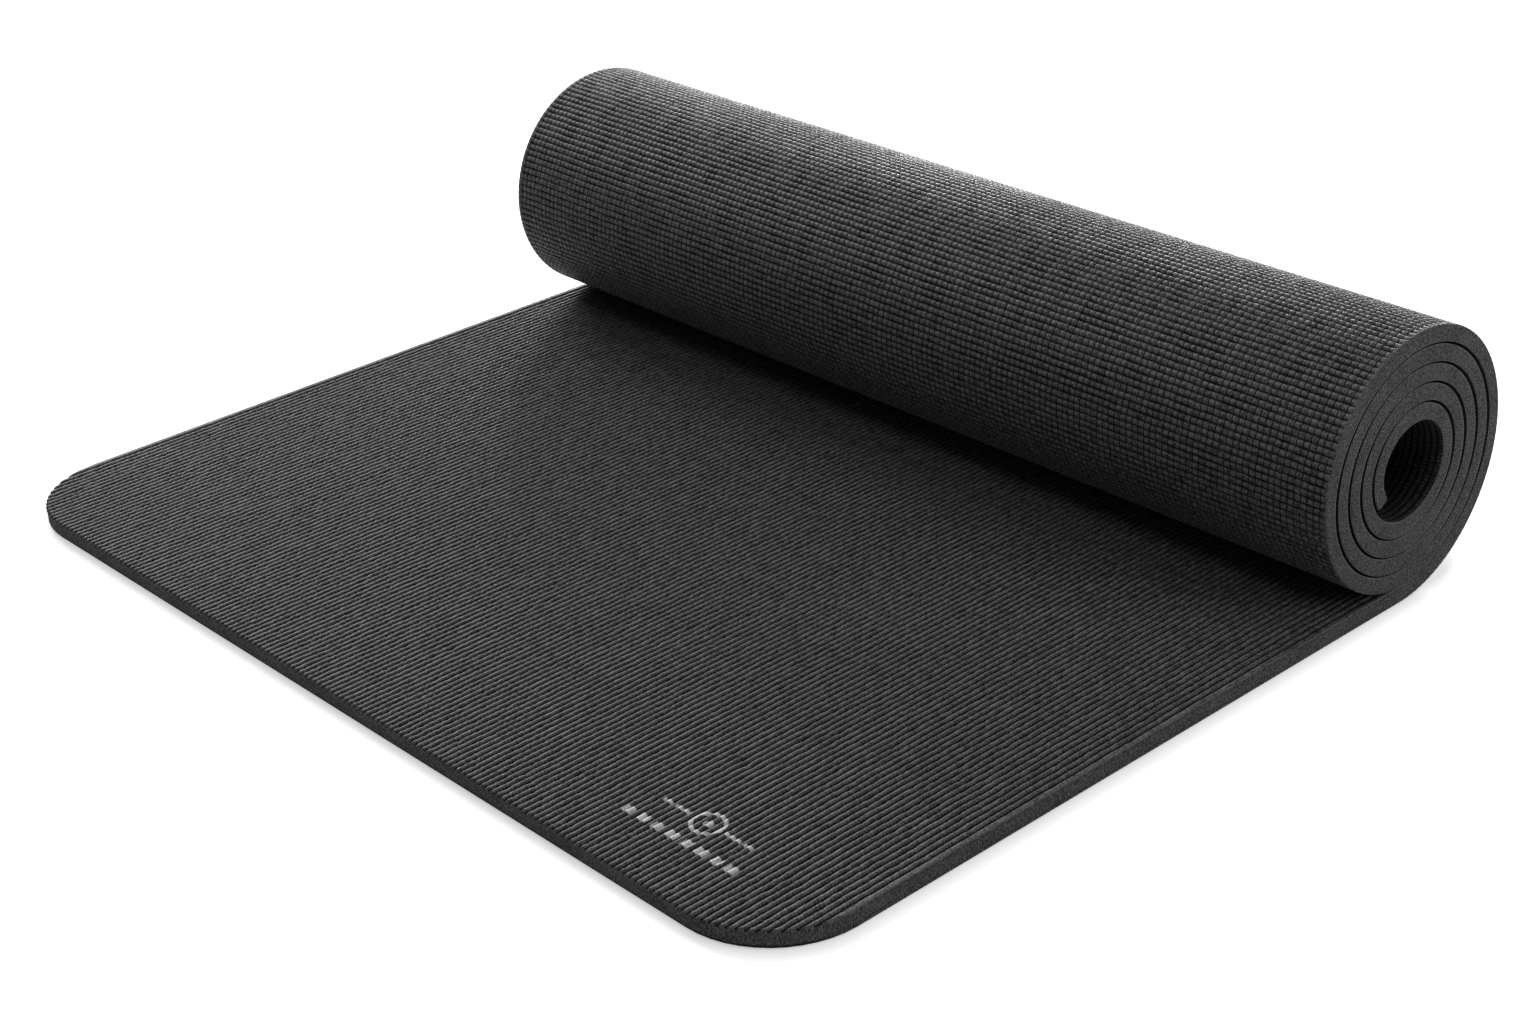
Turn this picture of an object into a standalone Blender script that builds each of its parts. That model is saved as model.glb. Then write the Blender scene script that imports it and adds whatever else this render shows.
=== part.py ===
# Exercise mat, partly rolled: a die-cut sheet of foam between two embossed skins.
# The front of the sheet lies flat, and the rest is wound into a roll that stands on it.
# Metres. X runs across the mat and along the roll, Y from the front edge to the roll, Z up.

import math

import bmesh
import bpy
from mathutils import Vector

# Driving dimensions of the mat, laid out flat
MAT_LENGTH = 1.830
MAT_WIDTH = 0.610
MAT_THICKNESS = 0.0095
FRONT_CORNER_RADIUS = 0.050
ROLLED_END_CORNER_RADIUS = 0.004

# Layers of the sheet, from the floor up: base skin, foam core, top skin
BASE_SKIN_THICKNESS = 0.0008
TOP_SKIN_THICKNESS = 0.0007
BOND_LINE = 0.0003

# How far the mat is rolled up, and how tightly
FLAT_LENGTH = 0.427
CORE_RADIUS = 0.0165
WRAP_GAP = 0.0006
WRAP_SETTLE_FORWARD = 0.00012
WRAP_SETTLE_DOWN = 0.00010

# Fineness of the facets
STATIONS_PER_TURN = 44
STATIONS_PER_FRONT_CORNER = 8
STATIONS_PER_ROLLED_END_CORNER = 2
SHARP_EDGE_DEGREES = 40.0

# Colours, linear, and roughness
SKIN_COLOUR = (0.026, 0.026, 0.027, 1.0)
BASE_COLOUR = (0.022, 0.022, 0.023, 1.0)
FOAM_COLOUR = (0.055, 0.055, 0.056, 1.0)
SKIN_ROUGHNESS = 0.55
FOAM_ROUGHNESS = 0.9

# Sizes that follow from the ones above
TURN = 2.0 * math.pi
WRAP_PITCH = MAT_THICKNESS + WRAP_GAP
WINDING_RADIUS = WRAP_PITCH / TURN
INNERMOST_RADIUS = CORE_RADIUS + MAT_THICKNESS / 2.0
ROLLED_LENGTH = MAT_LENGTH - FLAT_LENGTH
MIDDLE_RADIUS = math.sqrt(INNERMOST_RADIUS ** 2 + 2.0 * WINDING_RADIUS * ROLLED_LENGTH)
OUTER_RADIUS = MIDDLE_RADIUS + MAT_THICKNESS / 2.0
OPEN_FLAT_LENGTH = FLAT_LENGTH - OUTER_RADIUS
CORE_BOTTOM = BASE_SKIN_THICKNESS + BOND_LINE
CORE_TOP = MAT_THICKNESS - TOP_SKIN_THICKNESS - BOND_LINE


def clear_scene():
    for thing in list(bpy.data.objects):
        bpy.data.objects.remove(thing, do_unlink=True)


def rolled_length(heading):
    # Length of the mat's middle that is wound up once it has turned through the heading
    return MIDDLE_RADIUS * heading - WINDING_RADIUS * heading ** 2 / 2.0


def heading_after(length):
    # The inverse of rolled_length: how far the mat has turned after this much winding
    inside_root = MIDDLE_RADIUS ** 2 - 2.0 * WINDING_RADIUS * length
    return (MIDDLE_RADIUS - math.sqrt(inside_root)) / WINDING_RADIUS


def rolled_up(across, along, height):
    # Where a point of the flat sheet lies once the mat is rolled. The roll is the involute of a
    # small circle, so that its wraps stay one pitch apart, and each wrap settles a little.
    wound = along - FLAT_LENGTH
    if wound <= 0.0:
        return Vector((across, wound, height))
    heading = heading_after(wound)
    radius = OUTER_RADIUS - WINDING_RADIUS * heading - height
    settled = heading / TURN
    y = WINDING_RADIUS * (1.0 - math.cos(heading)) + radius * math.sin(heading)
    z = OUTER_RADIUS - WINDING_RADIUS * math.sin(heading) - radius * math.cos(heading)
    return Vector((across, y - settled * WRAP_SETTLE_FORWARD, z - settled * WRAP_SETTLE_DOWN))


def corner_stations(radius, count):
    # Distances from a cut end at which a rounded corner is cut across, and its inset there
    quarter_steps = [step / count * math.pi / 2.0 for step in range(count + 1)]
    return [(radius * (1.0 - math.cos(angle)), radius * (1.0 - math.sin(angle))) for angle in quarter_steps]


def blank_outline():
    # The die-cut blank as pairs of distance from the front edge and half width there. One row marks
    # where the roll begins to hang over the flat part.
    front = corner_stations(FRONT_CORNER_RADIUS, STATIONS_PER_FRONT_CORNER)
    rolled_end = corner_stations(ROLLED_END_CORNER_RADIUS, STATIONS_PER_ROLLED_END_CORNER)
    outline = [(distance, MAT_WIDTH / 2.0 - inset) for distance, inset in front]
    outline.append((OPEN_FLAT_LENGTH, MAT_WIDTH / 2.0))
    end_of_turns = heading_after(ROLLED_LENGTH - ROLLED_END_CORNER_RADIUS)
    turning_step = TURN / STATIONS_PER_TURN
    for step in range(math.ceil(end_of_turns / turning_step)):
        outline.append((FLAT_LENGTH + rolled_length(step * turning_step), MAT_WIDTH / 2.0))
    for distance, inset in reversed(rolled_end):
        outline.append((MAT_LENGTH - distance, MAT_WIDTH / 2.0 - inset))
    return outline


def flat_layer(outline, bottom, top):
    # One layer of the sheet, still flat: a strip with a row at each station, drawn up to its thickness
    layer = bmesh.new()
    bmesh.ops.create_grid(layer, x_segments=1, y_segments=len(outline) - 1, size=MAT_WIDTH / 2.0)
    layer.verts.ensure_lookup_table()
    for number, vert in enumerate(sorted(layer.verts, key=lambda each: (each.co.y, each.co.x))):
        distance, half_width = outline[number // 2]
        vert.co = Vector((math.copysign(half_width, vert.co.x), distance, bottom))
    drawn = bmesh.ops.extrude_face_region(layer, geom=layer.faces[:])["geom"]
    raised = [piece for piece in drawn if isinstance(piece, bmesh.types.BMVert)]
    bmesh.ops.translate(layer, verts=raised, vec=Vector((0.0, 0.0, top - bottom)))
    bmesh.ops.recalc_face_normals(layer, faces=layer.faces[:])
    return layer


def plain_material(name, colour, roughness):
    material = bpy.data.materials.new(name)
    material.use_nodes = True
    surface = material.node_tree.nodes["Principled BSDF"]
    surface.inputs["Base Color"].default_value = colour
    surface.inputs["Roughness"].default_value = roughness
    surface.inputs["Metallic"].default_value = 0.0
    return material


def rolled_layer(name, outline, bottom, top, material, collection, parent):
    layer = flat_layer(outline, bottom, top)
    for vert in layer.verts:
        vert.co = rolled_up(*vert.co)
    mesh = bpy.data.meshes.new(name)
    layer.to_mesh(mesh)
    layer.free()
    mesh.shade_smooth()
    mesh.set_sharp_from_angle(angle=math.radians(SHARP_EDGE_DEGREES))
    mesh.materials.append(material)
    thing = bpy.data.objects.new(name, mesh)
    collection.objects.link(thing)
    thing.parent = parent
    return thing


def least_gap_between_wraps(outline):
    # The closest that the underside of one wrap comes to the top of the wrap outside it
    tops = [rolled_up(0.0, distance, MAT_THICKNESS) for distance, half_width in outline]
    undersides = [rolled_up(0.0, distance, 0.0) for distance, half_width in outline]
    least = MAT_LENGTH
    for number, under in enumerate(undersides):
        for outer in range(number - STATIONS_PER_TURN // 2):
            side = tops[outer + 1] - tops[outer]
            along_side = (under - tops[outer]).dot(side) / side.length_squared
            nearest = tops[outer] + side * max(0.0, min(1.0, along_side))
            least = min(least, (under - nearest).length)
    return least


def build_mat():
    clear_scene()
    collection = bpy.data.collections.new("exercise_mat")
    bpy.context.scene.collection.children.link(collection)
    outline = blank_outline()
    back_of_roll = max(rolled_up(0.0, distance, 0.0).y for distance, half_width in outline)
    mat = bpy.data.objects.new("mat_frame", None)
    mat.location = (0.0, (FLAT_LENGTH - back_of_roll) / 2.0, 0.0)
    collection.objects.link(mat)
    skin = plain_material("embossed skin", SKIN_COLOUR, SKIN_ROUGHNESS)
    base = plain_material("gripping base", BASE_COLOUR, SKIN_ROUGHNESS)
    foam = plain_material("cut foam", FOAM_COLOUR, FOAM_ROUGHNESS)
    rolled_layer("base_skin", outline, 0.0, BASE_SKIN_THICKNESS, base, collection, mat)
    rolled_layer("foam_core", outline, CORE_BOTTOM, CORE_TOP, foam, collection, mat)
    rolled_layer("top_skin", outline, MAT_THICKNESS - TOP_SKIN_THICKNESS, MAT_THICKNESS, skin, collection, mat)
    turns = heading_after(ROLLED_LENGTH) / TURN
    print(f"roll of {turns:.2f} turns, least gap between wraps {least_gap_between_wraps(outline):.5f} m")
    print(f"flat part {FLAT_LENGTH:.3f} m, footprint {FLAT_LENGTH + back_of_roll:.4f} m deep")


build_mat()
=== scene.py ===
# Half-rolled exercise mat: its looks, in metres and in the place of its solids.
import math

import bpy
from mathutils import Matrix, Vector


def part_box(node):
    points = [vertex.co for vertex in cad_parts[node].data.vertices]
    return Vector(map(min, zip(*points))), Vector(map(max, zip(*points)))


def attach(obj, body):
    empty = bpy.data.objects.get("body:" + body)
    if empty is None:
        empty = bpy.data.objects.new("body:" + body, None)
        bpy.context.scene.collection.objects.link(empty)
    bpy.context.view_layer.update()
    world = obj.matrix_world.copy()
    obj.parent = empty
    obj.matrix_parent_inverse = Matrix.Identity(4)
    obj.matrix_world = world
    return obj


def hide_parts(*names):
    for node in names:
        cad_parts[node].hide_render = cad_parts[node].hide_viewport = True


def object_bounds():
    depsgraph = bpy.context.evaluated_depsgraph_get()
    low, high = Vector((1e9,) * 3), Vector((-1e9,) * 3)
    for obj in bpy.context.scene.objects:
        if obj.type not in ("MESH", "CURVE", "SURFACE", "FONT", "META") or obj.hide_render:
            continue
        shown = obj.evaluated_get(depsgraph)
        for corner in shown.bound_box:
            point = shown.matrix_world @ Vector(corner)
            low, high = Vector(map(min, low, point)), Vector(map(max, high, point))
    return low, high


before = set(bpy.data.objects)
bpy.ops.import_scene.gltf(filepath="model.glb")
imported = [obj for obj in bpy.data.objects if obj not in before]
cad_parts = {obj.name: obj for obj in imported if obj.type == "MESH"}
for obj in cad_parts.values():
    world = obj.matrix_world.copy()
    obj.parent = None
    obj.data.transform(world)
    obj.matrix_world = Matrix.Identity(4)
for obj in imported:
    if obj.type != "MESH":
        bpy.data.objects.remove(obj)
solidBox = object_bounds()
print("stage 1: solids loaded")

# How the sheet was cut and wound, the same as in the solids
sheetSizes = {
    "width": 0.610,
    "length": 1.830,
    "thickness": 0.0095,
    "frontCorner": 0.050,
    "rolledCorner": 0.004,
    "flatLength": 0.427,
    "coreRadius": 0.0165,
    "wrapGap": 0.0006,
    "settleForward": 0.00012,
    "settleDown": 0.00010,
}
# What the looks add: skins thick enough for their grooves, and wraps that stand a little apart
softSizes = {
    "coreBottom": 0.0020,
    "coreTop": 0.0079,
    "pressedOut": 0.0005,  # how far each turn is pressed outwards
    "squeezeMean": 0.115,  # share of its thickness that a wrap gives up
    "squeezeSwing": 0.085,  # how much that share changes round the roll
    "squeezeGrowth": 0.8,  # how fast the squeeze sets in, for each radian wound
    "loosestAt": math.radians(100.0),  # where the wraps stand furthest apart
}
fullTurn = 2 * math.pi
windingRadius = (sheetSizes["thickness"] + sheetSizes["wrapGap"]) / fullTurn
innerRadius = sheetSizes["coreRadius"] + sheetSizes["thickness"] / 2
rolledLength = sheetSizes["length"] - sheetSizes["flatLength"]
middleRadius = math.sqrt(innerRadius ** 2 + 2 * windingRadius * rolledLength)
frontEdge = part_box("base_skin")[0][1]
hairBreadth = 0.00001  # lengths under this count as none

# What a stored "wall" says of a face
wallKinds = {"face": 0.0, "cutWall": 1.0, "back": 2.0}

floatSocket = "NodeSocketFloat"
geometrySocket = "NodeSocketGeometry"
inputSockets = {
    type(None): geometrySocket,
    float: floatSocket,
    int: "NodeSocketInt",
    tuple: "NodeSocketVector",
}


class Wire:
    # one output of a node, which can be added, multiplied and so on

    def __init__(self, tree, socket):
        self.tree = tree
        self.socket = socket

    def math(self, operation, *others):
        node = self.tree.nodes.new("ShaderNodeMath")
        node.operation = operation
        for slot, value in zip(node.inputs, (self, *others)):
            plug(self.tree, slot, value)
        return Wire(self.tree, node.outputs[0])

    def __add__(self, other):
        return self.math("ADD", other)

    def __sub__(self, other):
        return self.math("SUBTRACT", other)

    def __mul__(self, other):
        return self.math("MULTIPLY", other)

    def __truediv__(self, other):
        return self.math("DIVIDE", other)

    __radd__ = __add__

    def __rsub__(self, other):
        return self.math("MULTIPLY_ADD", -1.0, other)

    def __rtruediv__(self, other):
        return self.math("POWER", -1.0) * other

    def root(self):
        return self.math("SQRT")

    def atLeast(self, low):
        return self.math("MAXIMUM", low)

    def atMost(self, high):
        return self.math("MINIMUM", high)

    def within(self, low=0.0, high=1.0):
        return self.atLeast(low).atMost(high)

    def over(self, level):
        return self.math("GREATER_THAN", level)

    def reaches(self, count):
        # 1 where a whole number is at least this count
        return self.over(count - 0.5)

    def size(self):
        return self.math("ABSOLUTE")

    def sign(self):
        return self.math("SIGN")

    def toward(self, goal, share):
        return self + (goal - self) * share


def plug(tree, slot, value):
    if isinstance(value, Wire):
        tree.links.new(value.socket, slot)
    else:
        slot.default_value = value


def fill(tree, node, sockets):
    # wires and constants go into the named inputs of a node
    for name, value in sockets.items():
        plug(tree, node.inputs[name], value)
    return node


def put(tree, kind, sockets=None, **settings):
    # a new node with its settings and sockets filled in
    node = tree.nodes.new(kind)
    for name, value in settings.items():
        setattr(node, name, value)
    return fill(tree, node, sockets or {})


def take(tree, node, name=0):
    return Wire(tree, node.outputs[name])


def vectorOf(tree, x, y, z):
    return take(tree, put(tree, "ShaderNodeCombineXYZ", {"X": x, "Y": y, "Z": z}))


def partsOf(tree, vector):
    node = put(tree, "ShaderNodeSeparateXYZ", {0: vector})
    return [take(tree, node, axis) for axis in "XYZ"]


def noiseAt(tree, place, scale, detail=1.0, roughness=0.5):
    sockets = {"Vector": place, "Scale": scale, "Detail": detail, "Roughness": roughness}
    return take(tree, put(tree, "ShaderNodeTexNoise", sockets))


def openGroup(name, inputs, outputs=("Geometry",), kind="GeometryNodeTree"):
    # a node group with named inputs, whose kinds follow from their values, and named outputs:
    # gives the tree and its inputs as wires
    tree = bpy.data.node_groups.new(name, kind)
    for label, value in inputs.items():
        socketKind = inputSockets[type(value)]
        socket = tree.interface.new_socket(label, in_out="INPUT", socket_type=socketKind)
        if value is not None:
            socket.default_value = value
    for label in outputs:
        socketKind = geometrySocket if label == "Geometry" else floatSocket
        tree.interface.new_socket(label, in_out="OUTPUT", socket_type=socketKind)
    entry = tree.nodes.new("NodeGroupInput")
    return tree, {label: take(tree, entry, label) for label in inputs}


def closeGroup(tree, results):
    fill(tree, tree.nodes.new("NodeGroupOutput"), results)
    return tree


# The sheet is laid out flat by one group, with y the distance from its front edge and z the
# height in its thickness, and another winds it up.

def placeOf(tree):
    return take(tree, put(tree, "GeometryNodeInputPosition"))


def here(tree):
    return partsOf(tree, placeOf(tree))


def moved(tree, mesh, position, where=True):
    sockets = {"Geometry": mesh, "Position": position, "Selection": where}
    return take(tree, put(tree, "GeometryNodeSetPosition", sockets))


def stored(tree, mesh, name, value, kind="FLOAT", domain="POINT", where=True):
    sockets = {"Geometry": mesh, "Name": name, "Value": value, "Selection": where}
    settings = {"data_type": kind, "domain": domain}
    return take(tree, put(tree, "GeometryNodeStoreNamedAttribute", sockets, **settings))


def named(tree, name):
    sockets = {"Name": name}
    return take(tree, put(tree, "GeometryNodeInputNamedAttribute", sockets, data_type="FLOAT"))


def onDomain(tree, value, domain):
    settings = {"data_type": "FLOAT", "domain": domain}
    return take(tree, put(tree, "GeometryNodeFieldOnDomain", {"Value": value}, **settings))


def joinedUp(tree, parts):
    joined = tree.nodes.new("GeometryNodeJoinGeometry")
    for part in parts:
        plug(tree, joined.inputs[0], part)
    return take(tree, joined)


def shaded(tree, mesh, smooth, domain, where=True):
    sockets = {"Geometry": mesh, "Selection": where, "Shade Smooth": smooth}
    return take(tree, put(tree, "GeometryNodeSetShadeSmooth", sockets, domain=domain))


def creased(tree, mesh, isWall):
    # smooth all over, but sharp where a cut wall meets a face
    wallsBeside = onDomain(tree, isWall, "EDGE")
    few, most = 0.1, 0.9
    crease = wallsBeside.over(few) * (1.0 - wallsBeside.over(most))
    return shaded(tree, shaded(tree, mesh, True, "FACE"), False, "EDGE", crease)


def cornerInset(x, width, radius):
    # how far a rounded corner of this radius is cut back at x
    past = (x.size() - width * 0.5 + radius).atLeast(0.0).atMost(radius)
    return radius - (radius * radius - past * past).atLeast(0.0).root()


def spreadAcross(share, width, corner):
    # share 0 to 1 goes across the width, in even steps of angle round the corners
    side = share - 0.5
    reach = side.size() * 2.0
    straight = width * 0.5 - corner
    angle = ((reach - 0.5) * math.pi).within(0.0, math.pi / 2)
    return side.sign() * ((reach * 2.0).atMost(1.0) * straight + corner * angle.math("SINE"))


def makeRollUp():
    # winds a flat layer up, and squeezes its thickness as the wraps lie on each other
    tree, given = openGroup("rollUp", {
        "Geometry": None,
        "Flat Length": sheetSizes["flatLength"],
        "Middle Radius": middleRadius,
        "Winding Radius": windingRadius,
        "Thickness": sheetSizes["thickness"],
        "Settle Forward": sheetSizes["settleForward"],
        "Settle Down": sheetSizes["settleDown"],
        "Pressed Out": softSizes["pressedOut"],
        "Squeeze Mean": softSizes["squeezeMean"],
        "Squeeze Swing": softSizes["squeezeSwing"],
        "Squeeze Growth": softSizes["squeezeGrowth"],
        "Loosest At": softSizes["loosestAt"],
        "Front Edge": frontEdge,
    })
    x, s, h = here(tree)
    wound = s - given["Flat Length"]
    winding, middle = given["Winding Radius"], given["Middle Radius"]
    outer = middle + given["Thickness"] * 0.5
    inside = middle * middle - winding * wound.atLeast(0.0) * 2.0
    heading = (middle - inside.root()) / winding
    turns = heading * (1 / fullTurn)
    # the wraps are loosest at two places in a turn, opposite each other
    swing = ((heading - given["Loosest At"]) * 2.0).math("COSINE") * given["Squeeze Swing"]
    setIn = (heading * given["Squeeze Growth"]).atMost(1.0)
    squeeze = (given["Squeeze Mean"] + swing) * setIn
    radius = outer - winding * heading + turns * given["Pressed Out"] - h * (1.0 - squeeze)
    cosine, sine = heading.math("COSINE"), heading.math("SINE")
    y = wound.atMost(0.0) + winding * (1.0 - cosine) + radius * sine
    z = outer - winding * sine - radius * cosine
    y = y - turns * given["Settle Forward"] + given["Front Edge"] + given["Flat Length"]
    z = z - turns * given["Settle Down"]
    return closeGroup(tree, {
        "Geometry": moved(tree, given["Geometry"], vectorOf(tree, x, y, z)),
    })


# The ways in which a skin is uneven: each has a seed of its own, a share of the place across and
# along the mat, and the scale and detail of its noise
unevenWays = {
    "lean": {"seed": 0.0, "across": 1.0, "along": 1.0, "scale": 42.0, "detail": 2.0},
    "shift": {"seed": 5.0, "across": 1.0, "along": 1.0, "scale": 55.0, "detail": 2.0},
    "lumps": {"seed": 9.0, "across": 2.4, "along": 1.0, "scale": 210.0, "detail": 1.0},
    "beads": {"seed": 3.0, "across": 0.73, "along": 0.61, "scale": 1.0, "detail": 0.0},
    "patches": {"seed": 2.0, "across": 1.6, "along": 1.0, "scale": 60.0, "detail": 1.0},
    "slip": {"seed": 7.0, "across": 9.0, "along": 130.0, "scale": 1.0, "detail": 0.0},
    "fray": {"seed": 13.0, "across": 3.1, "along": 210.0, "scale": 1.0, "detail": 1.0},
}
embossing = {
    "rounding": 0.001,  # what keeps a whole share from being rounded down
    "evenRate": 200.0,  # unevenness grows from nothing at an edge, by this much for each metre
    "runOutRate": 450.0,  # and so do the grooves at the cut sides
    "alongAtSides": 0.15,  # what is left of an along groove there
    "patchGain": 2.4,  # how much the patches change the along grooves
    "patchLoss": 0.45,
    "depthSwing": 0.5,  # and the depth of the across grooves
    "depthLeast": 0.75,
    "crossingShare": 0.3,  # how much deeper it is where two grooves cross
    "beadShare": 1.6,  # how high the beads stand beside the lumps
    "frayShare": 0.7,
    "wallStart": 0.001,  # how far a cut wall is first drawn out
    "backColumns": 21,
}
# The map of a skin has a margin round it, and its back lies in a low strip beyond
skinMap = {"margin": 0.003, "backGap": 0.002, "backStrip": 0.008}


def makeSkinSection():
    # an embossed stretch of one skin, still flat, with its cut walls and its plain back
    tree, given = openGroup("skinSection", {
        "Width": sheetSizes["width"],
        "Start": 0.0,
        "End": 1.0,
        "Start Corner": 0.0,
        "End Corner": 0.0,
        "Face Height": sheetSizes["thickness"],
        "Back Height": softSizes["coreTop"],
        "Across Repeats": 10,  # ribs or blocks across the mat
        "Across Parts": 3,  # faces in each
        "Across Crown": 0.6,  # share of it from one row of its crown to the next
        "Across Depth": 0.0,
        "Spread Across": 0.0,
        "Along Repeats": 10,
        "Along Parts": 3,
        "Along Crown": 0.6,
        "Along Depth": 0.0,
        "Along Least": 0.15,
        "Across Half Width": 0.5,
        "Along Half Width": 0.5,
        "Groove Sharpness": 1.4,
        "Wobble": 0.0003,
        "Stagger": 0.0,
        "Fray": 0.0002,
        "Unevenness": 0.0001,
        "Rim Drop": 0.00012,
        "Rim Width": 0.0012,
        # painted shade: how dark the across and along grooves are painted, standing in for the
        # shade in them, and the least that a plain stretch is painted, for the shade between the
        # wraps
        "Across Shade": 1.0,
        "Along Shade": 1.0,
        "Least Painted Shade": 0.0,
        "Back Rows": 8,
        "Map Place": (0.0, 0.0, 0.0),
        "Map Scale": (1.0, 1.0, 0.0),
        "Seed": 0.0,
    })
    width, start, end = given["Width"], given["Start"], given["End"]
    faceHeight, backHeight = given["Face Height"], given["Back Height"]
    outward = (faceHeight - backHeight).sign()  # 1 for the top skin, -1 for the base

    def gridOf(columns, rows):
        sockets = {"Size X": 1.0, "Size Y": 1.0, "Vertices X": columns, "Vertices Y": rows}
        return take(tree, put(tree, "GeometryNodeMeshGrid", sockets), "Mesh")

    def stepsOf(share, way):
        # a share of the grid becomes a repeat and a phase in it, with rows near the grooves
        parts = given[way + " Parts"]
        step = (share * (given[way + " Repeats"] * parts)).math("ROUND")
        repeat = (step / parts + embossing["rounding"]).math("FLOOR")
        part = step - repeat * parts
        phase = (part - parts * 0.5) * given[way + " Crown"] + 0.5
        return repeat, phase * part.reaches(1)

    def grooveOf(phase, way):
        near = phase.atMost(1.0 - phase)
        depth = (1.0 - near / given[way + " Half Width"]).atLeast(0.0)
        isCut = given[way + " Depth"].over(hairBreadth)
        return depth.math("POWER", given["Groove Sharpness"]) * isCut

    def rangeAt(x):
        low = start + cornerInset(x, width, given["Start Corner"])
        high = end - cornerInset(x, width, given["End Corner"])
        return low, high

    def uneven(name, across, along):
        # one of the uneven ways, from 0 to 1
        way = unevenWays[name]
        across, along = across * way["across"], along * way["along"]
        place = vectorOf(tree, across, along, given["Seed"] + way["seed"])
        return noiseAt(tree, place, way["scale"], way["detail"])

    def swinging(name, across, along):
        # the same from -1 to 1
        return (uneven(name, across, along) - 0.5) * 2.0

    gx, gy, _ = here(tree)
    rib, ribPhase = stepsOf(gx + 0.5, "Across")
    bead, beadPhase = stepsOf(gy + 0.5, "Along")
    x = ((rib + ribPhase) / given["Across Repeats"] - 0.5) * width
    x = x.toward(spreadAcross(gx + 0.5, width, given["Start Corner"]), given["Spread Across"])
    low, high = rangeAt(x)
    s = low + (high - low) * ((bead + beadPhase) / given["Along Repeats"])
    fromSide = width * 0.5 - x.size()
    fromEdge = fromSide.atMost(s - low).atMost(high - s)
    inner = (fromEdge * embossing["evenRate"]).atMost(1.0)
    runOut = (fromSide * embossing["runOutRate"]).atMost(1.0)

    patches = uneven("patches", x, s)
    atSides = embossing["alongAtSides"]
    acrossGroove = grooveOf(ribPhase, "Across") * runOut
    alongGroove = grooveOf(beadPhase, "Along") * (runOut * (1.0 - atSides) + atSides)
    patchy = patches * embossing["patchGain"] - embossing["patchLoss"]
    alongGroove = alongGroove * patchy.atLeast(given["Along Least"]).atMost(1.0)
    swing = patches * embossing["depthSwing"] + embossing["depthLeast"]
    deep = acrossGroove * given["Across Depth"] * swing
    cut = alongGroove * given["Along Depth"]
    depth = deep.atLeast(cut) + deep.atMost(cut) * embossing["crossingShare"]

    fray = swinging("fray", rib, s) * given["Fray"]
    bumps = swinging("lumps", x, s) + swinging("beads", rib, bead) * embossing["beadShare"]
    rough = (bumps.size() * given["Unevenness"] + fray.size() * embossing["frayShare"]) * inner
    rim = (1.0 - fromEdge / given["Rim Width"]).atLeast(0.0)
    drop = depth + rough + rim * rim * given["Rim Drop"]
    sway = given["Wobble"] * inner
    stagger = swinging("slip", x, s) * given["Stagger"]
    swayedX = x + swinging("lean", x, s) * sway + (stagger + fray) * inner
    swayedS = s + swinging("shift", s, x) * sway

    columns = given["Across Repeats"] * given["Across Parts"] + 1.0
    rows = given["Along Repeats"] * given["Along Parts"] + 1.0
    # painted shade: the grooves are painted dark for the shade that falls in them, and a plain
    # stretch no lighter than its given least, for the shade between the wraps and in the hole; the
    # finish reads it
    shade = (acrossGroove * given["Across Shade"]).atLeast(alongGroove * given["Along Shade"])
    face = stored(tree, gridOf(columns, rows), "paintedShade", shade.atLeast(given["Least Painted Shade"]))
    face = moved(tree, face, vectorOf(tree, swayedX, swayedS, faceHeight - drop * outward))

    # the cut walls are drawn out of the border, and their foot goes to the back
    neighbours = take(tree, put(tree, "GeometryNodeInputMeshEdgeNeighbors"))
    drawn = put(tree, "GeometryNodeExtrudeMesh", {
        "Mesh": face,
        "Selection": 1.0 - neighbours.reaches(2),
        "Offset": (0.0, 0.0, -1.0),
        "Offset Scale": embossing["wallStart"],
    }, mode="EDGES")
    foot, side = take(tree, drawn, "Top"), take(tree, drawn, "Side")
    shell = stored(tree, take(tree, drawn, "Mesh"), "wall", wallKinds["face"], domain="FACE")
    shell = stored(tree, shell, "wall", wallKinds["cutWall"], domain="FACE", where=side)
    px, py, _ = here(tree)
    shell = moved(tree, shell, vectorOf(tree, px, py, backHeight), where=foot)

    backX = spreadAcross(gx + 0.5, width, given["Start Corner"])
    low, high = rangeAt(backX)
    back = gridOf(embossing["backColumns"], given["Back Rows"])
    backPlace = vectorOf(tree, backX, low + (high - low) * (gy + 0.5), backHeight)
    back = stored(tree, moved(tree, back, backPlace), "wall", wallKinds["back"], domain="FACE")
    back = take(tree, put(tree, "GeometryNodeFlipFaces", {"Mesh": back}))
    body = joinedUp(tree, (back, shell))
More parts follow.
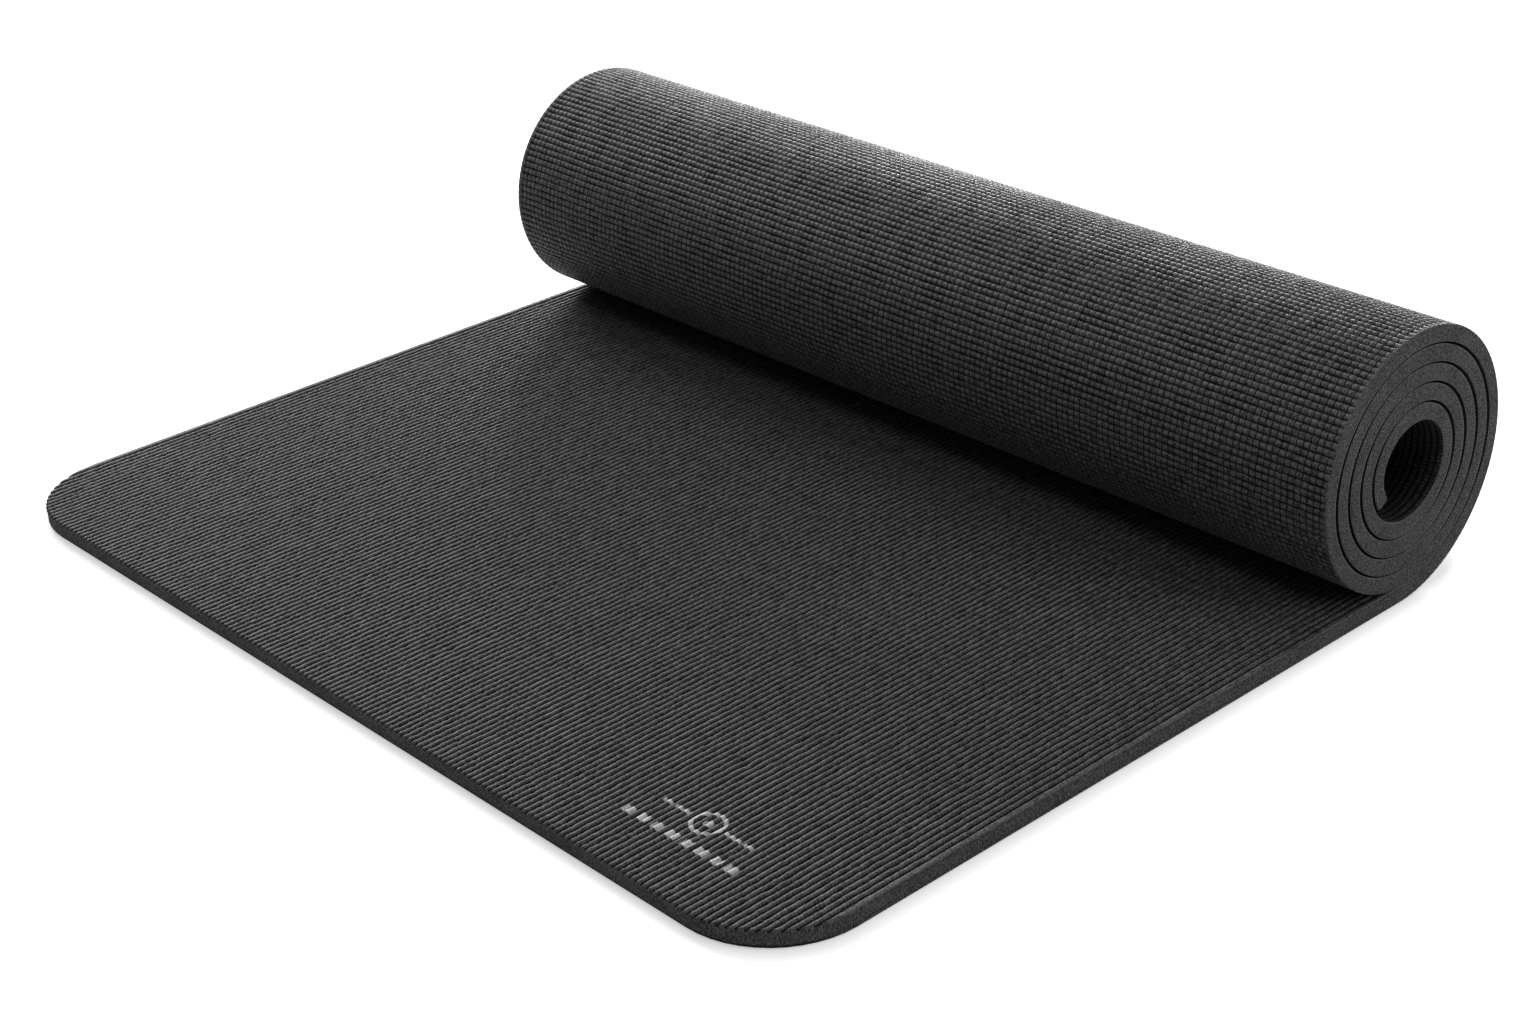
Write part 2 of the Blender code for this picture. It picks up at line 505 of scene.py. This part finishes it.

    # what the finishes read, and a map of the skin laid out flat
    body = stored(tree, body, "flatPlace", placeOf(tree), kind="FLOAT_VECTOR")
    px, py, pz = here(tree)
    kindOfFace = named(tree, "wall")
    isBack = kindOfFace.reaches(wallKinds["back"])
    isWall = kindOfFace.reaches(wallKinds["cutWall"]) - isBack
    sideWall = onDomain(tree, px.size(), "FACE").over(width * 0.5 - hairBreadth)
    ahead = (onDomain(tree, py, "FACE") - (start + end) * 0.5).sign()
    away = (faceHeight - pz).size() * isWall
    margin = skinMap["margin"]
    mapU = px + away * sideWall * px.sign() + width * 0.5 + margin
    mapV = py - start + away * (1.0 - sideWall) * ahead + margin
    scaleU, scaleV, _ = partsOf(tree, given["Map Scale"])
    placeU, placeV, _ = partsOf(tree, given["Map Place"])
    backFrom = placeV + (end - start + margin * 2) * scaleV + skinMap["backGap"]
    backV = backFrom + (py - start) / (end - start) * skinMap["backStrip"]
    mapV = (placeV + mapV * scaleV).toward(backV, isBack)
    mapped = vectorOf(tree, placeU + mapU * scaleU, mapV, 0.0)
    body = stored(tree, body, "OFBake", mapped, kind="FLOAT2", domain="CORNER")
    body = creased(tree, body, isWall)
    isBase = (outward * -1.0).over(0.0)
    turned = put(tree, "GeometryNodeFlipFaces", {"Mesh": body, "Selection": isBase})
    return closeGroup(tree, {"Geometry": take(tree, turned)})


# The map of the foam folds the long cut walls into rows, and gives the hidden faces little room
foamMap = {
    "folds": 8.0,  # rows to a long side
    "endRows": 17.0,  # where the rows of the two ends begin
    "rowsToEnd": 3.0,
    "rowPitch": 0.0355,
    "rowStart": 0.003,
    "margin": 0.012,
    "rowReach": 0.254,
    "heightScale": 4.2,
    "hiddenStart": 0.84,
    "hiddenPitch": 0.08,
    "hiddenDepth": 0.07,
    "hiddenMargin": 0.02,
    "hiddenWidth": 0.96,
}
blockSide = 0.4999  # just inside the sides of a block of size 1


def makeFoamSlab():
    # the core between the skins, still flat
    tree, given = openGroup("foamSlab", {
        "Width": sheetSizes["width"],
        "Length": sheetSizes["length"],
        "Front Corner": sheetSizes["frontCorner"],
        "Rolled Corner": sheetSizes["rolledCorner"],
        "Bottom": softSizes["coreBottom"],
        "Top": softSizes["coreTop"],
        "Columns": 49,
        "Rows": 761,
        "Layers": 5,
    })
    width, length, bottom = given["Width"], given["Length"], given["Bottom"]
    counts = {"X": given["Columns"], "Y": given["Rows"], "Z": given["Layers"]}
    sockets = {f"Vertices {axis}": count for axis, count in counts.items()}
    cube = put(tree, "GeometryNodeMeshCube", {"Size": (1.0, 1.0, 1.0), **sockets})
    block = take(tree, cube, "Mesh")
    gx, gy, gz = here(tree)
    sides = {
        "wall": 1.0 - onDomain(tree, gz.size(), "FACE").over(blockSide),
        "sideWall": onDomain(tree, gx.size(), "FACE").over(blockSide),
        "topFace": onDomain(tree, gz, "FACE").over(0.0),
    }
    for label, isSide in sides.items():
        block = stored(tree, block, label, isSide, domain="FACE")
    x = spreadAcross(gx + 0.5, width, given["Front Corner"])
    low = cornerInset(x, width, given["Front Corner"])
    high = length - cornerInset(x, width, given["Rolled Corner"])
    s = low + (high - low) * (gy + 0.5)
    h = bottom + (given["Top"] - bottom) * (gz + 0.5)
    block = moved(tree, block, vectorOf(tree, x, s, h))
    block = stored(tree, block, "flatPlace", placeOf(tree), kind="FLOAT_VECTOR")

    px, py, pz = here(tree)
    wall, sideWall, topFace = (named(tree, label) for label in sides)
    fold = length / foamMap["folds"]
    sideFold = (onDomain(tree, py, "FACE") / fold).math("FLOOR")
    endFold = ((onDomain(tree, px, "FACE") + width * 0.5) / fold).math("FLOOR")
    sideU = py - sideFold * fold
    endU = px + width * 0.5 - endFold * fold
    sideRow = sideFold * 2.0 + onDomain(tree, px, "FACE").over(0.0)
    isFarEnd = onDomain(tree, py, "FACE").over(length * 0.5)
    endRow = endFold + foamMap["endRows"] + isFarEnd * foamMap["rowsToEnd"]
    row = endRow.toward(sideRow, sideWall)
    wallU = (endU.toward(sideU, sideWall) + foamMap["margin"]) / foamMap["rowReach"]
    rowFrom = row * foamMap["rowPitch"] + foamMap["rowStart"]
    wallV = rowFrom + (pz - bottom) * foamMap["heightScale"]
    hiddenU = (px / width + 0.5) * foamMap["hiddenWidth"] + foamMap["hiddenMargin"]
    hiddenFrom = foamMap["hiddenStart"] + topFace * foamMap["hiddenPitch"]
    hiddenV = hiddenFrom + py / length * foamMap["hiddenDepth"]
    mapped = vectorOf(tree, hiddenU.toward(wallU, wall), hiddenV.toward(wallV, wall), 0.0)
    block = stored(tree, block, "OFBake", mapped, kind="FLOAT2", domain="CORNER")
    return closeGroup(tree, {"Geometry": creased(tree, block, wall)})


rollUp = makeRollUp()
skinSection = makeSkinSection()
foamSlab = makeFoamSlab()


def makePieceTree(name, section, sizes, stretches, finish):
    # the stretches of one layer, side by side, then wound up
    tree, given = openGroup(name, sizes)
    parts = []
    for stretch in stretches:
        node = put(tree, "GeometryNodeGroup", {**given, **stretch}, node_tree=section)
        parts.append(take(tree, node))
    flat = {"Geometry": joinedUp(tree, parts)}
    wound = put(tree, "GeometryNodeGroup", flat, node_tree=rollUp)
    realized = put(tree, "GeometryNodeRealizeInstances", {"Geometry": take(tree, wound)})
    sockets = {"Geometry": take(tree, realized), "Material": finish}
    return closeGroup(tree, {"Geometry": take(tree, put(tree, "GeometryNodeSetMaterial", sockets))})


def madeByNodes(name, tree, values):
    # runs a tree on an empty mesh and keeps what it makes as a plain mesh
    carrier = bpy.data.objects.new(name + "Carrier", bpy.data.meshes.new(name + "Carrier"))
    bpy.context.scene.collection.objects.link(carrier)
    modifier = carrier.modifiers.new("nodes", "NODES")
    modifier.node_group = tree
    for item in tree.interface.items_tree:
        if item.in_out == "INPUT" and item.name in values:
            modifier[item.identifier] = values[item.name]
    depsgraph = bpy.context.evaluated_depsgraph_get()
    mesh = bpy.data.meshes.new_from_object(carrier.evaluated_get(depsgraph))
    carrier.modifiers.clear()
    bpy.data.objects.remove(carrier, do_unlink=True)
    mesh.name = name
    piece = bpy.data.objects.new(name, mesh)
    bpy.context.scene.collection.objects.link(piece)
    print(f"   {name}: {len(mesh.polygons)} faces, {piece.dimensions.x:.4f} m across")
    return piece


# Effects that the finishes share, with their scales in changes to a metre
cellLook = {
    "grainDetail": 2.0,
    "grainRoughness": 0.65,
    "grainGain": 3.6,
    "poreLevel": 0.42,
    "poreGain": 0.9,
    "patchScale": 60.0,
    "patchDetail": 2.0,
    "patchGain": 0.5,
    "middleTone": 0.42,
    "grainHeight": 1.4,
    "poreHeight": 0.6,
    "breakScale": 260.0,  # how often the painted highlight by a skin's edge is broken
    "breakGain": 2.4,
    "breakLevel": 0.35,
}


def makeCutFoamLook():
    # closed cells on a cut face: grains drawn out through the thickness, with small dark pores, and
    # a pale line by each face of the sheet that is a painted highlight of the skin's edge
    tree, given = openGroup("cutFoamLook", {
        "Place": (0.0, 0.0, 0.0),
        "Grain Size": 0.0010,
        "Drawn Out": 2.3,
        "Painted Highlight Width": 0.0006,
        "Thickness": sheetSizes["thickness"],
    }, ("Tone", "Height", "Line"), "ShaderNodeTree")
    look = cellLook
    x, s, h = partsOf(tree, given["Place"])
    drawn = vectorOf(tree, x, s, h / given["Drawn Out"])
    scale = 1.0 / given["Grain Size"]
    grains = noiseAt(tree, drawn, scale, look["grainDetail"], look["grainRoughness"])
    cellsNode = put(tree, "ShaderNodeTexVoronoi", {"Vector": drawn, "Scale": scale})
    cells = take(tree, cellsNode, "Distance")
    patches = noiseAt(tree, given["Place"], look["patchScale"], look["patchDetail"])
    tone = (grains - 0.5) * look["grainGain"] + (look["poreLevel"] - cells) * look["poreGain"]
    tone = tone + (patches - 0.5) * look["patchGain"] + look["middleTone"]
    broken = noiseAt(tree, given["Place"], look["breakScale"])
    # painted highlight: a pale line along each face of the sheet, for the skin's cut edge catching
    # light
    edge = 1.0 - (h.atMost(given["Thickness"] - h) / given["Painted Highlight Width"]).within()
    return closeGroup(tree, {
        "Tone": tone.within(),
        "Height": grains * look["grainHeight"] + (look["poreHeight"] - cells).within(),
        "Line": edge * (broken * look["breakGain"] - look["breakLevel"]).within(),
    })


grainLook = {
    "fineDetail": 3.0,
    "fineRoughness": 0.6,
    "fineGain": 3.4,
    "fineHeight": 0.6,
    "broadScale": 0.28,
    "broadDetail": 2.0,
    "broadGain": 1.6,
    "broadHeight": 0.9,
    "broadGloss": 0.8,
    "patchScale": 9.0,
    "patchDetail": 3.0,
    "patchRoughness": 0.55,
    "patchGain": 1.8,
    "jitterAcross": 3.7,
    "jitterAlong": 90.0,
    "jitterGain": 9.0,
    "beadsOnCrown": 0.4,
}


def makeSkinGrain():
    # the leathery grain of a moulded skin, with small beads strung along it
    tree, given = openGroup("skinGrain", {
        "Place": (0.0, 0.0, 0.0),
        "Grain Size": 0.0009,
        "Bead Pitch": 0.0019,
        "Row Pitch": 0.0037,
    }, ("Height", "Tone", "Gloss", "Beads"), "ShaderNodeTree")
    place, look = given["Place"], grainLook
    x, s, _ = partsOf(tree, place)
    scale = 1.0 / given["Grain Size"]
    fine = noiseAt(tree, place, scale, look["fineDetail"], look["fineRoughness"])
    broad = noiseAt(tree, place, scale * look["broadScale"], look["broadDetail"])
    patches = noiseAt(tree, place, look["patchScale"], look["patchDetail"], look["patchRoughness"])
    row = (x / given["Row Pitch"]).math("ROUND")
    jitterPlace = vectorOf(tree, row * look["jitterAcross"], s * look["jitterAlong"], 0.0)
    jitter = noiseAt(tree, jitterPlace, 1.0)
    wave = (s / given["Bead Pitch"] * fullTurn + jitter * look["jitterGain"]).math("COSINE")
    tone = (broad - 0.5) * look["broadGain"] + (fine - 0.5) * look["fineGain"] + 0.5
    gloss = (patches - 0.5) * look["patchGain"] + (broad - 0.5) * look["broadGloss"] + 0.5
    return closeGroup(tree, {
        "Height": fine * look["fineHeight"] + broad * look["broadHeight"],
        "Tone": tone.within(),
        "Gloss": gloss.within(),
        "Beads": wave * 0.5 + 0.5,
    })


markLook = {
    "sharpness": 3500.0,  # how fast an edge of the mark goes from full to none, for each metre
    "dotRadius": 0.0024,
    "longTick": {"centre": 0.0160, "half": 0.0048},
    "shortTick": {"centre": 0.0260, "half": 0.0028},
    "barPitch": 0.0095,
    "barShare": 0.31,
    "barHalf": 0.0024,
    "rowHalf": 0.0380,
    "grooveLoss": 0.25,
    "patchGain": 3.0,
    "patchLeast": 0.5,
}


def makeMarkShape():
    # a plain moulder's mark: a ring with a dot and four short ticks, over a row of bars
    tree, given = openGroup("markShape", {
        "Place": (0.0, 0.0, 0.0),
        "Centre X": 0.214,
        "Ring Distance": 0.050,
        "Bar Distance": 0.0335,
        "Ring Radius": 0.0078,
        "Stroke": 0.0010,
    }, ("Mask",), "ShaderNodeTree")
    x, s, _ = partsOf(tree, given["Place"])
    ax, ay = x - given["Centre X"], s - given["Ring Distance"]
    wide, deep, stroke = ax.size(), ay.size(), given["Stroke"]

    def inside(distance):
        return (distance * -markLook["sharpness"] + 0.5).within()

    def tickOf(sizes):
        return inside((wide - sizes["centre"]).size() - sizes["half"]) * inside(deep - stroke)

    far = (ax * ax + ay * ay).root()
    ring = inside((far - given["Ring Radius"]).size() - stroke)
    dot = inside(far - markLook["dotRadius"])
    pitch, rowHalf = markLook["barPitch"], markLook["rowHalf"]
    place = (ax + rowHalf) / pitch
    share = place - place.math("FLOOR")
    bars = inside(((share - 0.5).size() - markLook["barShare"]) * pitch)
    bars = bars * inside((s - given["Bar Distance"]).size() - markLook["barHalf"])
    bars = bars * inside(wide - rowHalf)
    ticks = tickOf(markLook["longTick"]).atLeast(tickOf(markLook["shortTick"]))
    return closeGroup(tree, {"Mask": ring.atLeast(dot).atLeast(ticks).atLeast(bars)})


cutFoamLook = makeCutFoamLook()
skinGrain = makeSkinGrain()
markShape = makeMarkShape()


def mixColours(tree, share, low, high):
    node = put(tree, "ShaderNodeMix", data_type="RGBA")
    for name, value in (("Factor_Float", share), ("A_Color", low), ("B_Color", high)):
        slot = next(slot for slot in node.inputs if slot.identifier == name)
        plug(tree, slot, value)
    return Wire(tree, next(slot for slot in node.outputs if slot.identifier == "Result_Color"))


def grey(level):
    return (level, level, level, 1.0)


def startFinish(name):
    material = bpy.data.materials.new(name)
    material.use_nodes = True
    return material, material.node_tree, material.node_tree.nodes["Principled BSDF"]


def fromMesh(tree, name, output="Fac"):
    # what the mesh has stored under this name
    return take(tree, put(tree, "ShaderNodeAttribute", attribute_name=name), output)


def useGroup(tree, group, sockets):
    # gives a function from the name of an output to that output
    node = put(tree, "ShaderNodeGroup", sockets, node_tree=group)
    return lambda name: take(tree, node, name)


def foamColours(tree, place, finish):
    foam = useGroup(tree, cutFoamLook, {"Place": place, "Grain Size": finish["grainSize"]})
    colour = mixColours(tree, foam("Tone"), grey(finish["dark"]), grey(finish["light"]))
    # painted highlight: the pale line along the skins' cut edges
    colour = mixColours(tree, foam("Line") * finish["edgeHighlightShare"], colour, grey(finish["edgeHighlight"]))
    return colour, foam("Height")


def bumped(tree, height, distance):
    sockets = {"Height": height, "Distance": distance, "Strength": 1.0}
    return take(tree, put(tree, "ShaderNodeBump", sockets))


foamFinish = {
    "grainSize": 0.00058,
    "dark": 0.045,
    "light": 0.205,
    # painted highlight along the skins' cut edges: its colour and share
    "edgeHighlight": 0.36,
    "edgeHighlightShare": 0.75,
    "roughness": 0.92,
    "specular": 0.08,
    "bump": 0.00030,
}


def makeFoamFinish():
    material, tree, surface = startFinish("charcoalCutFoam")
    colour, height = foamColours(tree, fromMesh(tree, "flatPlace", "Vector"), foamFinish)
    fill(tree, surface, {
        "Base Color": colour,
        "Roughness": foamFinish["roughness"],
        "Specular IOR Level": foamFinish["specular"],
        "Normal": bumped(tree, height, foamFinish["bump"]),
    })
    return material


def makeSkinFinish(name, finish):
    # a skin's own finish on its face, with painted shade in its grooves, bead notches and hidden
    # stretches, and that of the foam on its cut walls
    material, tree, surface = startFinish(name)
    place = fromMesh(tree, "flatPlace", "Vector")
    wall, paintedShade = fromMesh(tree, "wall"), fromMesh(tree, "paintedShade")
    grain = useGroup(tree, skinGrain, {
        "Place": place,
        "Grain Size": finish["grainSize"],
        "Bead Pitch": finish["beadPitch"],
        "Row Pitch": finish["rowPitch"],
    })
    skin = mixColours(tree, grain("Tone"), grey(finish["dark"]), grey(finish["light"]))
    # painted shade: darkest in the grooves and bead notches, and rougher there so that no sheen
    # shows
    beadReach = (1.0 - grain("Beads")) * (paintedShade + grainLook["beadsOnCrown"])
    beadShade = beadReach * finish["beadShade"]
    shade = ((paintedShade - finish["paintedShadeFrom"]) * finish["paintedShadeGain"] + beadShade).within()
    skin = mixColours(tree, shade * finish["paintedShadeShare"], skin, grey(finish["paintedShade"]))
    roughness = grain("Gloss") * (finish["matt"] - finish["satin"]) + finish["satin"]
    roughness = roughness.toward(1.0, shade)
    if "mark" in finish:
        mark = useGroup(tree, markShape, {"Place": place})
        patchy = (grain("Tone") * markLook["patchGain"] + markLook["patchLeast"]).within()
        ink = mark("Mask") * (1.0 - shade * markLook["grooveLoss"]) * patchy
        skin = mixColours(tree, ink, skin, grey(finish["mark"]))
        roughness = roughness.toward(finish["markRoughness"], ink)
    isWall = wall.reaches(wallKinds["cutWall"]) - wall.reaches(wallKinds["back"])
    foam, foamHeight = foamColours(tree, place, foamFinish)
    skinHeight = grain("Height") * finish["bump"] + grain("Beads") * finish["beadHeight"]
    height = skinHeight * (1.0 - isWall) + foamHeight * foamFinish["bump"] * isWall
    fill(tree, surface, {
        "Base Color": mixColours(tree, isWall, skin, foam),
        "Roughness": roughness.toward(foamFinish["roughness"], isWall),
        "Specular IOR Level": finish["specular"],
        "Normal": bumped(tree, height, 1.0),
    })
    return material


print("stage 2: node groups made")

# Top skin: fine beaded ribs along the mat
topSkinSizes = {
    "Face Height": sheetSizes["thickness"],
    "Back Height": softSizes["coreTop"],
    "Wobble": 0.0006,
    "Fray": 0.0007,
    "Unevenness": 0.00010,
    "Across Half Width": 0.35,
    "Groove Sharpness": 1.2,
    "Across Depth": 0.00130,
    "Along Depth": 0.00026,
    "Along Shade": 0.42,
}
topSkinFinish = {
    "grainSize": 0.0010,
    "dark": 0.034,
    "light": 0.152,
    # painted shade: its colour, and how far and from where it darkens the grooves
    "paintedShade": 0.003,
    "paintedShadeShare": 0.95,
    "paintedShadeFrom": 0.33,
    "paintedShadeGain": 2.0,
    "beadPitch": 0.0019,
    "rowPitch": 0.0037,
    "beadShade": 0.45,
    "beadHeight": 0.00005,
    "mark": 0.74,
    "markRoughness": 0.42,
    "satin": 0.36,
    "matt": 0.52,
    "specular": 0.10,
    "bump": 0.00016,
}
ribsAcross = 165
ribsHiddenFrom, ribsHiddenTo = 0.456, 1.600  # in between, the ribs lie hidden between the wraps
fullMap = 1.620  # map units to a metre that just hold the mat's width
topSkinStretches = [
    {
        "Start": 0.0, "End": ribsHiddenFrom, "Start Corner": sheetSizes["frontCorner"],
        "Across Repeats": ribsAcross, "Across Parts": 6, "Across Crown": 0.16667,
        "Along Repeats": 120, "Along Parts": 2, "Along Crown": 0.5, "Back Rows": 12,
        "Map Place": (0.0, 0.0, 0.0), "Map Scale": (fullMap, fullMap, 0.0), "Seed": 11.0,
    },
    {
        # painted shade: this hidden stretch is painted dark for the shade between the wraps
        "Start": ribsHiddenFrom, "End": ribsHiddenTo, "Least Painted Shade": 0.70,
        "Across Repeats": 12, "Across Parts": 1, "Across Depth": 0.0,
        "Along Repeats": 381, "Along Parts": 1, "Along Depth": 0.0, "Back Rows": 382,
        "Map Place": (0.0, 0.77, 0.0), "Map Scale": (fullMap, 0.04, 0.0), "Seed": 18.0,
    },
    {
        # painted shade: the innermost stretch is painted dark for the shade in the hole
        "Start": ribsHiddenTo, "End": sheetSizes["length"], "Least Painted Shade": 0.55,
        "End Corner": sheetSizes["rolledCorner"],
        "Across Repeats": ribsAcross, "Across Parts": 4, "Across Crown": 0.25,
        "Across Depth": 0.0006,
        "Along Repeats": 60, "Along Parts": 2, "Along Crown": 0.5, "Back Rows": 80,
        "Map Place": (0.0, 0.84, 0.0), "Map Scale": (fullMap, 0.6, 0.0), "Seed": 25.0,
    },
]

# Base skin: small pebbled blocks, cut deepest along the roll
baseSkinSizes = {
    "Face Height": 0.0,
    "Back Height": softSizes["coreBottom"],
    "Wobble": 0.0005,
    "Stagger": 0.0007,
    "Fray": 0.0004,
    "Unevenness": 0.00008,
    "Across Half Width": 0.18,
    "Along Half Width": 0.27,
    "Groove Sharpness": 1.2,
    "Across Depth": 0.00030,
    "Across Shade": 0.80,
    "Along Depth": 0.00150,
}
baseSkinFinish = {
    "grainSize": 0.0010,
    "dark": 0.030,
    "light": 0.180,
    # painted shade: its colour, and how far and from where it darkens the grooves
    "paintedShade": 0.003,
    "paintedShadeShare": 0.97,
    "paintedShadeFrom": 0.18,
    "paintedShadeGain": 1.9,
    "beadPitch": 0.0035,
    "rowPitch": 0.0038,
    "beadShade": 0.0,
    "beadHeight": 0.0,
    "satin": 0.36,
    "matt": 0.54,
    "specular": 0.10,
    "bump": 0.00018,
}
blocksAcross = 160
blocksFrom, blocksTo = 0.400, 0.900  # the stretch that shows on the outside of the roll
baseSkinStretches = [
    {
        "Start": 0.0, "End": blocksFrom, "Start Corner": sheetSizes["frontCorner"],
        "Spread Across": 1.0, "Along Least": 1.0,
        "Across Repeats": 48, "Across Parts": 1, "Across Depth": 0.0,
        "Along Repeats": 114, "Along Parts": 3, "Along Crown": 0.6, "Back Rows": 12,
        "Map Place": (0.0, 0.84, 0.0), "Map Scale": (fullMap, 0.16, 0.0), "Seed": 11.0,
    },
    {
        "Start": blocksFrom, "End": blocksTo, "Along Least": 0.75,
        "Across Repeats": blocksAcross, "Across Parts": 4, "Across Crown": 0.38,
        "Along Repeats": 143, "Along Parts": 5, "Along Crown": 0.24, "Back Rows": 167,
        "Map Place": (0.0, 0.0, 0.0), "Map Scale": (fullMap, fullMap, 0.0), "Seed": 18.0,
    },
    {
        # painted shade: this hidden stretch is painted dark for the shade between the wraps
        "Start": blocksTo, "End": sheetSizes["length"], "Least Painted Shade": 0.70,
        "End Corner": sheetSizes["rolledCorner"],
        "Across Repeats": 12, "Across Parts": 1, "Across Depth": 0.0,
        "Along Repeats": 310, "Along Parts": 1, "Along Depth": 0.0, "Back Rows": 311,
        "Map Place": (0.0, 0.93, 0.0), "Map Scale": (fullMap, 0.05, 0.0), "Seed": 25.0,
    },
]

# Foam core: the cut face between the skins, in one stretch
coreSizes = {"Bottom": softSizes["coreBottom"], "Top": softSizes["coreTop"]}
coreStretches = [{}]

topFinish = makeSkinFinish("charcoalRibbedSkin", topSkinFinish)
baseFinish = makeSkinFinish("charcoalBlockSkin", baseSkinFinish)
coreFinish = makeFoamFinish()

topTree = makePieceTree(
    "topSkinNodes", skinSection, topSkinSizes, topSkinStretches, topFinish)
baseTree = makePieceTree(
    "baseSkinNodes", skinSection, baseSkinSizes, baseSkinStretches, baseFinish)
coreTree = makePieceTree(
    "foamCoreNodes", foamSlab, coreSizes, coreStretches, coreFinish)

topSkin = madeByNodes("ribbedTopSkin", topTree, topSkinSizes)
baseSkin = madeByNodes("blockBaseSkin", baseTree, baseSkinSizes)
foamCore = madeByNodes("foamCore", coreTree, coreSizes)

for piece, node in ((topSkin, "top_skin"), (baseSkin, "base_skin"), (foamCore, "foam_core")):
    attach(piece, "root")
    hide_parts(node)
print("stage 3: mat made")

# Stage: white floor that keeps the soft shadow and glows less beside the mat as a painted contact
# shadow, soft light from behind, and the camera
stageSettings = {
    "floorHeight": -0.0004,
    "floorSize": 4.0,
    "floorColour": 0.70,
    "floorRoughness": 0.9,
    "glowInPaintedShadow": 0.50,  # how white the floor glows by itself beside the mat, where the lower glow is a painted contact shadow, and away from it
    "glowAway": 0.85,
    "paintedShadowReach": 0.010,
    "worldLight": 0.07,
}
camera = {
    "place": (0.95974, -0.82511, 0.65493),
    "azimuth": math.radians(48.1996),
    "elevation": math.radians(27.0317),
    "roll": math.radians(-2.4378),
    "lens": 62.832,
    "sensor": 36.0,
    "clipEnd": 50.0,
}
lamps = {
    "leftSoftbox": {
        "place": (-2.90, 0.60, 1.85), "aim": (0.0, 0.0, 0.05), "size": (1.2, 1.2), "power": 92.0},
    "streakSoftbox": {
        "place": (-2.30, 1.75, 1.55), "aim": (0.0, 0.0, 0.05), "size": (1.0, 0.4), "power": 3.0},
    "backSoftbox": {
        "place": (-1.75, 2.10, 0.80), "aim": (0.0, 0.15, 0.10), "size": (1.2, 0.5), "power": 60.0},
    "frontSoftbox": {
        "place": (0.60, -0.80, 2.20), "aim": (0.0, 0.1, 0.05), "size": (0.8, 0.8), "power": 9.5},
    "rightFill": {
        "place": (1.9, 0.9, 0.75), "aim": (0.2, 0.0, 0.05), "size": (0.8, 0.8), "power": 9.5},
}


def lookRotation(back, roll=0.0):
    back = Vector(back).normalized()
    right = Vector((0.0, 0.0, 1.0)).cross(back).normalized()
    up = back.cross(right)
    turned = right * math.cos(roll) + up * math.sin(roll)
    raised = up * math.cos(roll) - right * math.sin(roll)
    return Matrix((turned, raised, back)).transposed()


def seenRays(tree):
    # 1 for a ray that shows the stage itself, 0 for one that only lights the mat
    path = put(tree, "ShaderNodeLightPath")
    rays = [take(tree, path, f"Is {kind} Ray") for kind in ("Camera", "Glossy", "Transmission")]
    return rays[0].atLeast(rays[1]).atLeast(rays[2])


def makeFloor():
    half = stageSettings["floorSize"] / 2
    height = stageSettings["floorHeight"]
    mesh = bpy.data.meshes.new("floor")
    corners = [(-half, -half), (half, -half), (half, half), (-half, half)]
    mesh.from_pydata([(x, y, height) for x, y in corners], [], [(0, 1, 2, 3)])
    floor = bpy.data.objects.new("floor", mesh)
    bpy.context.scene.collection.objects.link(floor)
    material, tree, surface = startFinish("paleFloor")
    x, y, _ = partsOf(tree, take(tree, put(tree, "ShaderNodeTexCoord"), "Object"))
    # the floor glows less within a short reach of the mat's rounded outline: a painted contact
    # shadow, in which the real shadow shows
    corner = sheetSizes["frontCorner"]
    beyondX = (x.size() - (solidBox[1][0] - corner)).atLeast(0.0)
    beyondY = (y.size() - (solidBox[1][1] - corner)).atLeast(0.0)
    beyond = (beyondX * beyondX + beyondY * beyondY).root() - corner
    away = (beyond / stageSettings["paintedShadowReach"]).within()
    glowInPaintedShadow, glowAway = stageSettings["glowInPaintedShadow"], stageSettings["glowAway"]
    fill(tree, surface, {
        "Base Color": grey(stageSettings["floorColour"]),
        "Roughness": stageSettings["floorRoughness"],
        "Specular IOR Level": 0.0,
        "Emission Color": grey(1.0),
        "Emission Strength": seenRays(tree) * (away * (glowAway - glowInPaintedShadow) + glowInPaintedShadow),
    })
    mesh.materials.append(material)


def makeWorld():
    world = bpy.data.worlds.new("studio")
    world.use_nodes = True
    bpy.context.scene.world = world
    tree = world.node_tree
    worldLight = stageSettings["worldLight"]
    fill(tree, tree.nodes["Background"], {
        "Color": grey(1.0),
        "Strength": seenRays(tree) * (1.0 - worldLight) + worldLight,
    })


def makeLamps():
    for name, lamp in lamps.items():
        data = bpy.data.lights.new(name, "AREA")
        data.shape = "RECTANGLE"
        data.size, data.size_y = lamp["size"]
        data.energy = lamp["power"]
        thing = bpy.data.objects.new(name, data)
        thing.location = lamp["place"]
        back = Vector(lamp["place"]) - Vector(lamp["aim"])
        thing.rotation_euler = lookRotation(back).to_euler()
        bpy.context.scene.collection.objects.link(thing)


def makeCamera():
    data = bpy.data.cameras.new("camera")
    data.sensor_width = camera["sensor"]
    data.lens = camera["lens"]
    data.clip_end = camera["clipEnd"]
    a, e = camera["azimuth"], camera["elevation"]
    back = (math.sin(a) * math.cos(e), -math.cos(a) * math.cos(e), math.sin(e))
    turn = lookRotation(back, camera["roll"]).to_4x4()
    thing = bpy.data.objects.new("camera", data)
    thing.matrix_world = Matrix.Translation(camera["place"]) @ turn
    bpy.context.scene.collection.objects.link(thing)
    bpy.context.scene.camera = thing


makeFloor()
makeWorld()
makeLamps()
makeCamera()
bpy.context.scene.view_settings.view_transform = "Standard"
print("stage 4: floor, lamps and camera made")
